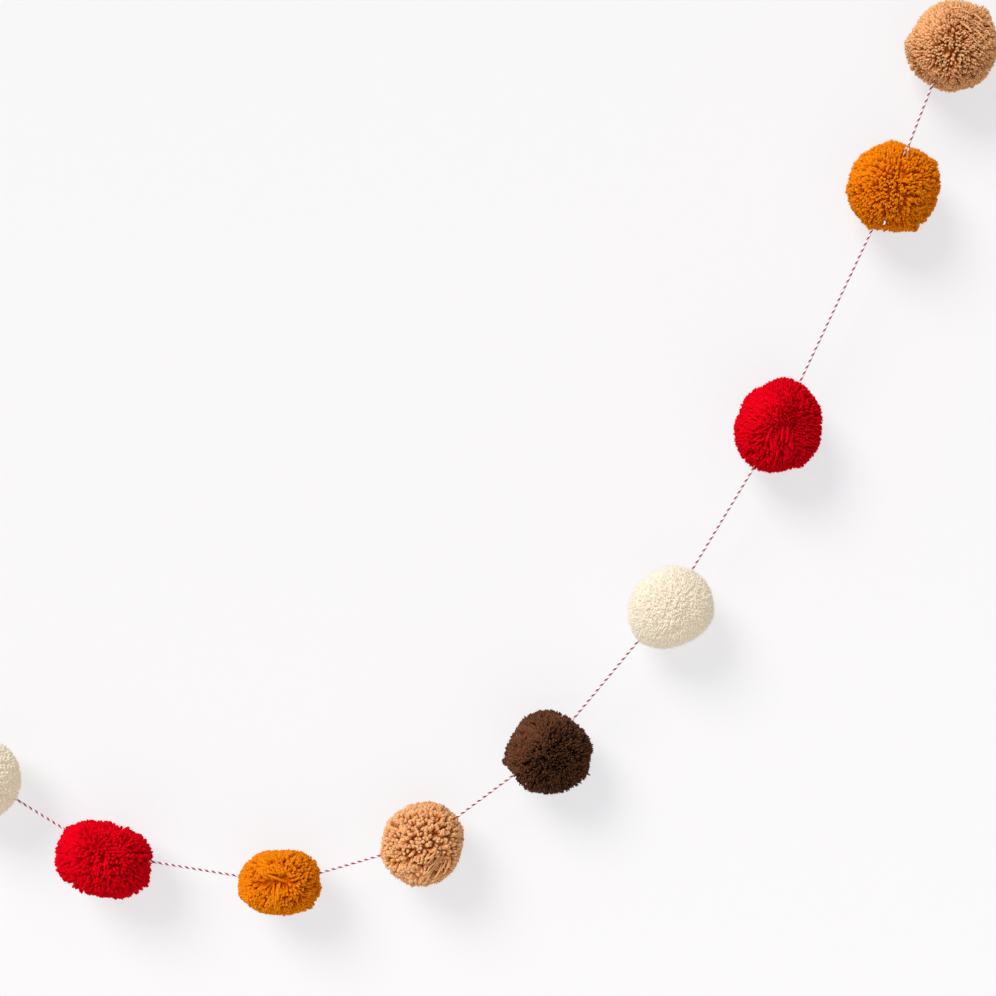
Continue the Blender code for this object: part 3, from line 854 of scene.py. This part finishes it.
def plied_twine(name, line, settings, materials, slim=1.0, frayed=False):
    """Plies twisted round each other along a line. slim is the thickness as a share of the
    twine's, and frayed opens the plies at the line's end, where they were cut."""
    radius, twist = settings.diameter / 2 * slim, settings.twist
    line = even_steps(line, twist / STEPS_IN_TURN)
    heading = unit(np.gradient(line, axis=0))
    side = [unit(np.cross(heading[0], TWINE_SLANT))]
    for now in heading[1:]:
        side.append(unit(side[-1] - now * side[-1].dot(now)))
    side = np.array(side)
    up = np.cross(heading, side)
    run = np.arange(len(line)) * np.linalg.norm(np.diff(line, axis=0), axis=1).mean()
    profile = np.array(PLY_PROFILE * len(PLY_COLOURS)) * radius
    corners = len(profile)
    turn = math.tau * (run[:, None] / twist + np.arange(corners) / corners)
    x, y = profile * np.cos(turn), profile * np.sin(turn)
    rings = line[:, None] + x[..., None] * side[:, None] + y[..., None] * up[:, None]
    caps = np.array([line[0] - heading[0] * radius / 2, line[-1] + heading[-1] * radius / 2])
    flat = math.tau * np.arange(corners) / corners
    spot = np.stack(np.broadcast_arrays(np.cos(flat), np.sin(flat), run[:, None] / radius), 2)
    faces, slots = [], []
    last, tips = (len(line) - 1) * corners, len(line) * corners
    here = np.arange(0, last, corners)
    above = here + corners
    for corner in range(corners):
        beside = (corner + 1) % corners
        strip = [here + corner, here + beside, above + beside, above + corner]
        strip = np.stack(strip, 1).tolist()
        strip += [[beside, corner, tips], [last + corner, last + beside, tips + 1]]
        faces += strip
        slots += [PLY_COLOURS[corner // len(PLY_PROFILE)]] * len(strip)
    points = np.concatenate([rings.reshape(-1, 3), caps])
    twine = {
        "points": points, "faces": faces, "strand": np.zeros(points.shape),
        "local_mm": np.concatenate([spot.reshape(-1, 3), caps * 0]) * radius / MM,
    }
    if frayed:
        rng = np.random.default_rng(FRAYED_ENDS)
        start = line[-1] + rng.normal(0, radius / 3, (FRAYED_ENDS, 3))
        way = unit(heading[-1] + rng.normal(0, FRAYED_LEAN, start.shape))
        way = way * rng.uniform(*FRAYED_LENGTH, (FRAYED_ENDS, 1)) * MM
        end = start + way + rng.normal(0, FRAYED_CURL * MM, way.shape)
        thick = np.full(FRAYED_ENDS, FRAYED_THICKNESS * MM)
        tint = np.zeros(FRAYED_ENDS)
        fibres = strand_mesh(
            start, start + way * FRAYED_BEND, end, FINE_RINGS, thick, rng, tint, tint,
            sides=FINE_SIDES,
        )
        in_one = len(fibres["points"]) // FRAYED_ENDS
        slots += [face[0] // in_one % 2 for face in fibres["faces"]]
        twine = joined([twine, fibres])
    obj = add_mesh(
        name, twine["points"], twine["faces"], materials, slots, local_mm=twine["local_mm"]
    )
    return obj, line


def loop_line(hang, pull, tail_side):
    """A hanging loop: up from the knot, round the hook, down, round the knot, and a tail."""
    across = np.array((-pull[2], 0.0, pull[0]))
    depth = np.array((0.0, 1.0, 0.0))
    knot = hang + pull * LOOP_LENGTH * MM
    out = []
    for number in range(LOOP_POINTS):
        turn = math.tau * (LOOP_OPENING + (1 - 2 * LOOP_OPENING) * number / (LOOP_POINTS - 1))
        reach = (LOOP_LENGTH + TWINE_DIAMETER / 2) * (1 - math.cos(turn)) / 2
        half = LOOP_WIDTH / 2 / DROP_WIDEST * math.sin(turn) * math.sin(turn / 2)
        out.append(knot + (across * half - pull * reach) * MM)
    for number in range(1, WRAP_POINTS + 1):
        turn = math.tau * number / POINTS_IN_WRAP
        wrap = across * -WRAP_WIDTH * math.cos(turn) + depth * WRAP_DEPTH * math.sin(turn)
        along = WRAP_PITCH * number / POINTS_IN_WRAP - WRAP_START
        out.append(knot + (wrap + pull * along) * MM)
    below = np.array((0.0, 0.0, -1.0))
    side = np.array((tail_side, 0.0, 0.0))
    base = out[-1]
    for number in range(1, TAIL_POINTS + 1):
        t = number / TAIL_POINTS
        sideways = TAIL_SIDEWAYS * math.sin(t * TAIL_BEND)
        out.append(base + (below * TAIL_LENGTH * t + side * sideways) * MM)
    return smooth_line(out)


class GARLAND_OT_stage(bpy.types.Operator):
    """Makes the camera, the light, the pale wall and the floor"""
    bl_idname = "garland.stage"
    bl_label = "Stage"

    # The camera's view and the wall, in millimetres, and the light's direction and colours
    VIEW_CENTRE = (-287.6, -347.9)
    VIEW_WIDTH = 572.7
    LENS = 85
    SENSOR = 36
    WALL_WIDTH = 2600
    KEY_FROM = (-0.450, -0.700, 0.585)
    KEY_COLOUR = (1.0, 0.985, 0.96)
    FILL_COLOUR = (0.96, 0.98, 1.0, 1.0)

    def plane(self, name, material):
        """A flat square of the stage."""
        bpy.ops.mesh.primitive_grid_add(x_subdivisions=4, y_subdivisions=4, size=1)
        plane = bpy.context.object
        plane.name = name
        plane.scale = (self.WALL_WIDTH * MM, self.WALL_WIDTH * MM, 1)
        plane.data.materials.append(material)
        return plane

    def execute(self, context):
        settings = context.scene.garland_stage
        scene = context.scene
        scene.view_settings.view_transform = "Standard"
        x, z = (value * MM for value in self.VIEW_CENTRE)

        camera_data = bpy.data.cameras.new("camera")
        camera_data.lens = self.LENS
        camera_data.sensor_width = self.SENSOR
        camera = bpy.data.objects.new("camera", camera_data)
        away = self.VIEW_WIDTH * MM * self.LENS / self.SENSOR
        camera.location = (x, -away, z)
        camera.rotation_euler = (math.pi / 2, 0, 0)
        scene.collection.objects.link(camera)
        scene.camera = camera

        # Wall: matt emulsion paint, rolled on, which has no shine at all. It glows a little,
        # so that shadows stay as faint as in an overexposed studio shot, and it is clear
        # from behind, where the garland is seen through it.
        paint, tree, shader = new_material(
            "matt_emulsion_paint", Base_Color=(*linear("8B8A8B"), 1), Roughness=1.0,
            Specular_IOR_Level=0.0, Emission_Color=(*linear("FCFBFD"), 1),
            Emission_Strength=0.660,
        )
        side = add_node(tree, "ShaderNodeNewGeometry")
        clear = add_node(tree, "ShaderNodeBsdfTransparent")
        both = add_node(
            tree, "ShaderNodeMixShader", {},
            {"Fac": side.outputs["Backfacing"], 1: shader.outputs[0], 2: clear.outputs[0]},
        )
        tree.links.new(both.outputs[0], tree.nodes["Material Output"].inputs["Surface"])
        wall = self.plane("wall", paint)
        wall.rotation_euler = (math.pi / 2, 0, 0)
        wall.location = (x, settings.wall_gap, z)
        # Floor: pale floor paint, rolled on, which is even and nearly matt
        floor_paint, _, _ = new_material(
            "pale_floor_paint", Base_Color=(*linear("E7E6E5"), 1), Roughness=0.8,
        )
        floor = self.plane("floor", floor_paint)
        floor.location = (x, settings.wall_gap - self.WALL_WIDTH * MM / 2, -settings.floor_drop)

        key_data = bpy.data.lights.new("key", "SUN")
        key_data.energy = settings.key
        key_data.angle = settings.key_angle
        key_data.color = self.KEY_COLOUR
        key = bpy.data.objects.new("key", key_data)
        key.rotation_mode = "QUATERNION"
        key.rotation_quaternion = Vector(self.KEY_FROM).to_track_quat("Z", "Y")
        scene.collection.objects.link(key)

        world = bpy.data.worlds.new("soft_fill")
        world.use_nodes = True
        background = world.node_tree.nodes["Background"]
        background.inputs["Color"].default_value = self.FILL_COLOUR
        background.inputs["Strength"].default_value = settings.fill
        scene.world = world
        return {"FINISHED"}


def twine_materials(settings):
    """The two colours of cotton, made once and then shared."""
    materials = []
    for name in ("white", "red"):
        made = bpy.data.materials.get("cotton_ply_" + name)
        materials.append(made or cotton_ply(name, tuple(getattr(settings, name))))
    return materials


class GARLAND_OT_loops(bpy.types.Operator):
    """Makes the knotted hanging loop and cut tail at each end of the twine"""
    bl_idname = "garland.loops"
    bl_label = "Hanging loops"

    def execute(self, context):
        settings = context.scene.garland_twine
        _, hang_left, directions = twine_path()
        ends = (("right", np.zeros(3), directions[0], 1), ("left", hang_left, -directions[-1], -1))
        for name, hang, pull, side in ends:
            plied_twine(
                "hanging_loop_" + name, loop_line(hang, pull, side), settings,
                twine_materials(settings), frayed=True,
            )
        return {"FINISHED"}


class GARLAND_OT_twine(bpy.types.Operator):
    """Makes the threaded length of baker's twine"""
    bl_idname = "garland.twine"
    bl_label = "Baker's twine"

    def execute(self, context):
        settings = context.scene.garland_twine
        line, _, _ = twine_path()
        twine, path = plied_twine("threaded_twine", line, settings, twine_materials(settings))
        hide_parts("twine")
        return {"FINISHED"}


# Ends of the ties that hold the pompoms, where they show between the strands: thickness
# as a share of the twine's, and points from the pompom's middle in millimetres
TIE_ENDS = (
    ("pompom_2_mustard", "top", 0.6, (
        (3.6, -17.5, 14.5), (2.9, -20.6, 16.5), (3.6, -20.4, 18.3), (5.2, -18.6, 20.7),
        (5.5, -19.7, 18.7), (5.1, -20.6, 16.7), (4.4, -17.5, 14.7))),
    ("pompom_2_mustard", "foot", 1.0, (
        (-6.8, -11.5, -20.4), (-7.0, -14.9, -21.9), (-7.1, -13.0, -23.4))),
    ("pompom_5_brown", "side", 1.0, (
        (-10.4, -9.0, -13.0), (-12.6, -11.6, -16.2), (-13.0, -11.4, -17.2))),
)


class GARLAND_OT_tie_ends(bpy.types.Operator):
    """Makes the ends of the ties that peep out between the strands"""
    bl_idname = "garland.tie_ends"
    bl_label = "Tie ends"

    def execute(self, context):
        settings = context.scene.garland_twine
        for node, name, slim, places in TIE_ENDS:
            low, high = (np.array(corner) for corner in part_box(node))
            line = smooth_line((low + high) / 2 + np.array(places) * MM)
            plied_twine(
                "tie_%s_of_%s" % (name, node), line, settings, twine_materials(settings), slim,
            )
        return {"FINISHED"}


class GARLAND_OT_pompoms(bpy.types.Operator):
    """Makes the pompoms of cut yarn"""
    bl_idname = "garland.pompoms"
    bl_label = "Pompoms"

    def execute(self, context):
        yarns = context.scene.garland_yarn
        materials = {}
        for row in POMPOMS:
            if row.yarn not in materials:
                materials[row.yarn] = wool_yarn(row.yarn, tuple(getattr(yarns, row.yarn)))
            make_pompom(row, materials[row.yarn])
        return {"FINISHED"}


class GARLAND_PT_panel(bpy.types.Panel):
    """Lists the garland's pieces and their settings"""
    bl_label = "Pom-pom garland"
    bl_idname = "GARLAND_PT_panel"
    bl_space_type = "VIEW_3D"
    bl_region_type = "UI"
    bl_category = "Garland"

    def draw(self, context):
        groups = (
            (context.scene.garland_stage, ("garland.stage",)),
            (context.scene.garland_twine,
             ("garland.loops", "garland.twine", "garland.tie_ends")),
            (context.scene.garland_yarn, ("garland.pompoms",)),
        )
        for settings, operators in groups:
            box = self.layout.box()
            for name in settings.bl_rna.properties.keys():
                if name not in ("rna_type", "name"):
                    box.prop(settings, name)
            for operator in operators:
                box.operator(operator)


CLASSES = (
    GarlandYarnSettings, GarlandTwineSettings, GarlandStageSettings, GARLAND_OT_stage,
    GARLAND_OT_loops, GARLAND_OT_twine, GARLAND_OT_tie_ends, GARLAND_OT_pompoms,
    GARLAND_PT_panel,
)


def register():
    """Adds the classes and their settings to Blender."""
    for cls in CLASSES:
        bpy.utils.register_class(cls)
    bpy.types.Scene.garland_yarn = bpy.props.PointerProperty(type=GarlandYarnSettings)
    bpy.types.Scene.garland_twine = bpy.props.PointerProperty(type=GarlandTwineSettings)
    bpy.types.Scene.garland_stage = bpy.props.PointerProperty(type=GarlandStageSettings)


def unregister():
    """Takes them out again."""
    del bpy.types.Scene.garland_stage
    del bpy.types.Scene.garland_twine
    del bpy.types.Scene.garland_yarn
    for cls in reversed(CLASSES):
        bpy.utils.unregister_class(cls)


def main():
    """Makes the garland and its stage."""
    register()
    bpy.ops.garland.stage()
    bpy.ops.garland.loops()
    bpy.ops.garland.twine()
    bpy.ops.garland.tie_ends()
    bpy.ops.garland.pompoms()


if __name__ == "__main__":
    main()
